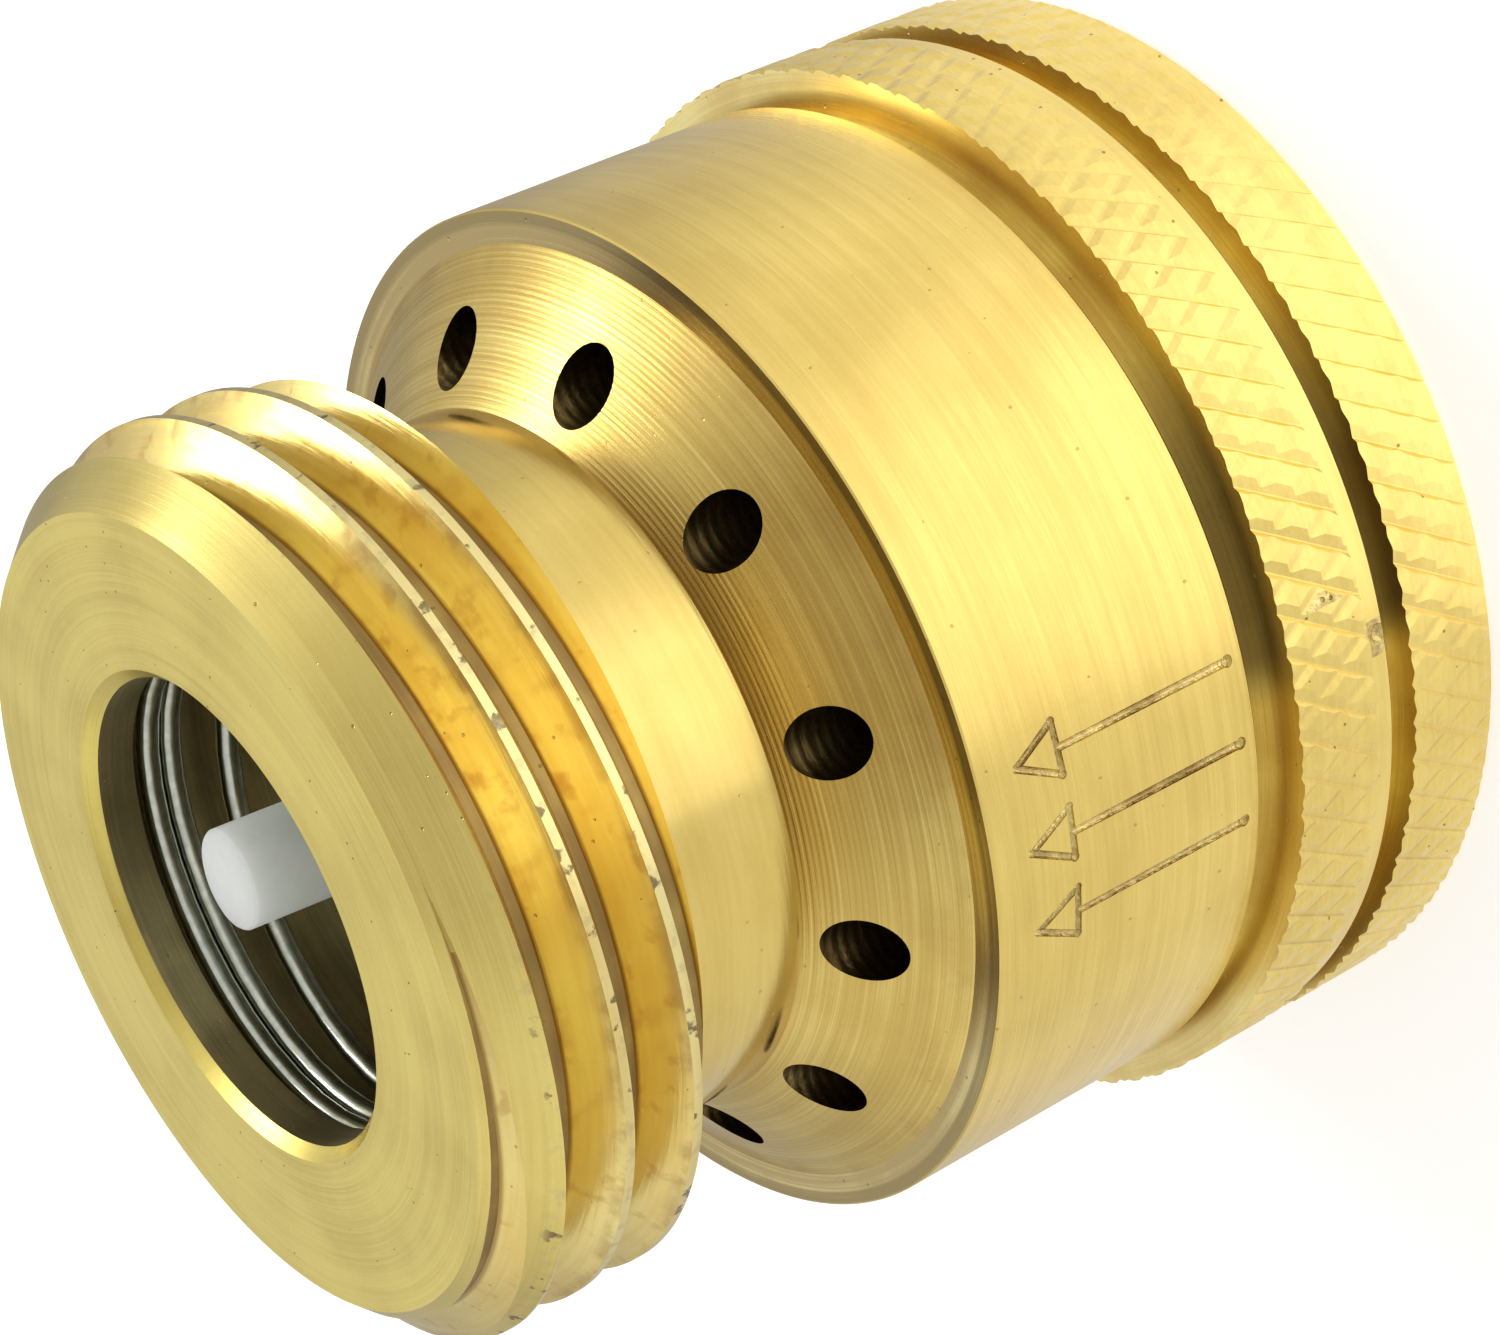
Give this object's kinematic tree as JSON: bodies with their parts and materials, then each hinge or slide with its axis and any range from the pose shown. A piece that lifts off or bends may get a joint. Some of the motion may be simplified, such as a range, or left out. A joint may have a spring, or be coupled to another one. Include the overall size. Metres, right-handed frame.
{
  "type": "hose bib vacuum breaker",
  "caption": "Turned brass vacuum breaker for a hose tap, with a knurled inlet collar, a vented cone, a male hose thread and a spring-loaded check inside.",
  "frame": {"origin": "centre of the inlet end face, on which the part stands", "axes": "+Z along the flow from the inlet to the outlet, +X through a vent hole; the flow arrows face -Y"},
  "size_m": [0.0328, 0.0328, 0.0326],
  "materials": {
    "body_brass": "satin turned",
    "seat_brass": "satin turned",
    "washer_rubber": "matte moulded",
    "diaphragm_rubber": "matte moulded",
    "disc_rubber": "matte moulded",
    "white_plastic": "moulded acetal, faintly translucent",
    "stainless_wire": "drawn wire",
    "screw_steel": "machined"
  },
  "bodies": {
    "shell": {"body": "body_brass", "hose_washer": "washer_rubber", "seat_ring": "seat_brass", "diaphragm": "diaphragm_rubber", "spring": "stainless_wire", "set_screw": "screw_steel"},
    "check": {"plunger": "white_plastic", "check_disc": "disc_rubber"}
  },
  "joints": [
    {"name": "plunger_slide", "type": "slide", "parent": "shell", "child": "check", "axis": [0, 0, 1], "range_m": [0, 0.0025], "stiffness_N_per_m": 350, "springref_m": -0.004, "deforming": ["spring"]}
  ]
}
